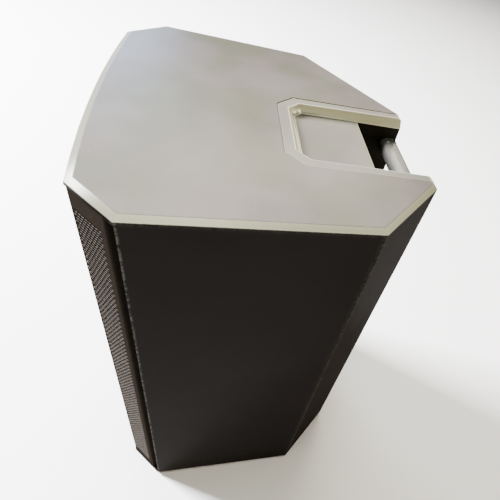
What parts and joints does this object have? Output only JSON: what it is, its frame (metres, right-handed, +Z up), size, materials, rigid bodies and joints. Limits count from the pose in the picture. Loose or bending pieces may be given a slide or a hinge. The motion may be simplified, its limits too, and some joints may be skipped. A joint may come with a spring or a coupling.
{
  "type": "powered loudspeaker",
  "caption": "Moulded powered two-way loudspeaker cabinet with a wrap-round perforated grille, an inset top handle and a recessed rear amplifier panel.",
  "frame": {"origin": "middle of the bounding box, on the plane that the rubber feet stand on", "axes": "+Z up along the height, -Y out of the grille, +Y out of the amplifier panel, +X to the side whose rear bevel is short"},
  "size_m": [0.4, 0.361, 0.612],
  "materials": {
    "moulded_black": "satin fine grain",
    "insert_black": "satin fine grain",
    "painted_steel": "textured powder coat",
    "black_plastic": "satin",
    "rubber": "matt",
    "foam": "open cell",
    "bare_steel": "zinc plated",
    "ferrite": "matt",
    "paper": "pressed fibre",
    "cloth": "woven",
    "copper": "enamelled wire",
    "aluminium": "black anodised",
    "board": "solder resist",
    "grip_grey": "satin",
    "window": "polished",
    "lens": "polished",
    "wadding": "fibrous"
  },
  "bodies": {
    "cabinet": {"enclosure_shell": "moulded_black", "front_baffle": "black_plastic", "grille": "painted_steel", "grille_foam": "foam", "handle_insert": "insert_black", "handle_grip": "grip_grey", "woofer_basket": "painted_steel", "woofer_surround": "rubber", "woofer_spider": "cloth", "woofer_front_plate": "bare_steel", "woofer_magnet": "ferrite", "woofer_back_plate": "bare_steel", "horn": "black_plastic", "compression_driver": "ferrite", "driver_cover": "black_plastic", "port_tube_left": "black_plastic", "port_tube_right": "black_plastic", "amp_panel": "painted_steel", "heat_sink": "aluminium", "amp_board": "board", "transformer": "cloth", "link_socket": "black_plastic", "mains_inlet": "black_plastic", "power_switch_frame": "black_plastic", "encoder_body": "bare_steel", "display_window": "window", "status_lens": "lens", "pole_socket": "black_plastic", "damping_pad": "wadding", "woofer_lead": "rubber", "tweeter_lead": "rubber", "input_socket_1": "black_plastic", "gain_pot_1": "bare_steel", "mode_switch_1": "black_plastic", "wedge_pad_1": "rubber", "input_socket_2": "black_plastic", "gain_pot_2": "bare_steel", "mode_switch_2": "black_plastic", "wedge_pad_2": "rubber", "panel_screw_1": "bare_steel", "foot_1": "rubber", "panel_screw_2": "bare_steel", "foot_2": "rubber", "panel_screw_3": "bare_steel", "foot_3": "rubber", "panel_screw_4": "bare_steel", "foot_4": "rubber"},
    "cone_assembly": {"woofer_cone": "paper", "woofer_dust_cap": "paper", "voice_coil": "copper"},
    "gain_dial_1": {"gain_knob_1": "black_plastic"},
    "gain_dial_2": {"gain_knob_2": "black_plastic"},
    "encoder_stem": {"encoder_shaft": "bare_steel"},
    "encoder_dial": {"encoder_knob": "aluminium"},
    "latch_1": {"socket_latch_1": "bare_steel"},
    "latch_2": {"socket_latch_2": "bare_steel"},
    "mode_1": {"mode_button_1": "grip_grey"},
    "mode_2": {"mode_button_2": "grip_grey"},
    "rocker": {"power_rocker": "black_plastic"}
  },
  "joints": [
    {"name": "woofer_travel", "type": "slide", "parent": "cabinet", "child": "cone_assembly", "axis": [0, -1, 0], "range_m": [-0.006, 0.006], "stiffness_N_per_m": 2500},
    {"name": "gain_turn_1", "type": "hinge", "parent": "cabinet", "child": "gain_dial_1", "pos_m": [-0.008, 0.166, 0.382], "axis": [0, 1, 0], "range_deg": [-150, 150]},
    {"name": "gain_turn_2", "type": "hinge", "parent": "cabinet", "child": "gain_dial_2", "pos_m": [0.03, 0.166, 0.382], "axis": [0, 1, 0], "range_deg": [-150, 150]},
    {"name": "encoder_press", "type": "slide", "parent": "cabinet", "child": "encoder_stem", "axis": [0, -1, 0], "range_m": [0, 0.001], "stiffness_N_per_m": 600},
    {"name": "encoder_turn", "type": "hinge", "parent": "encoder_stem", "child": "encoder_dial", "pos_m": [0.066, 0.166, 0.45], "axis": [0, 1, 0], "continuous": true},
    {"name": "latch_press_1", "type": "slide", "parent": "cabinet", "child": "latch_1", "axis": [0, -1, 0], "range_m": [0, 0.0015], "stiffness_N_per_m": 800},
    {"name": "latch_press_2", "type": "slide", "parent": "cabinet", "child": "latch_2", "axis": [0, -1, 0], "range_m": [0, 0.0015], "stiffness_N_per_m": 800},
    {"name": "mode_press_1", "type": "slide", "parent": "cabinet", "child": "mode_1", "axis": [0, -1, 0], "range_m": [0, 0.0025], "stiffness_N_per_m": 400},
    {"name": "mode_press_2", "type": "slide", "parent": "cabinet", "child": "mode_2", "axis": [0, -1, 0], "range_m": [0, 0.0025], "stiffness_N_per_m": 400},
    {"name": "rocker_tip", "type": "hinge", "parent": "cabinet", "child": "rocker", "pos_m": [0.066, 0.165, 0.286], "axis": [1, 0, 0], "range_deg": [-8, 8]}
  ]
}
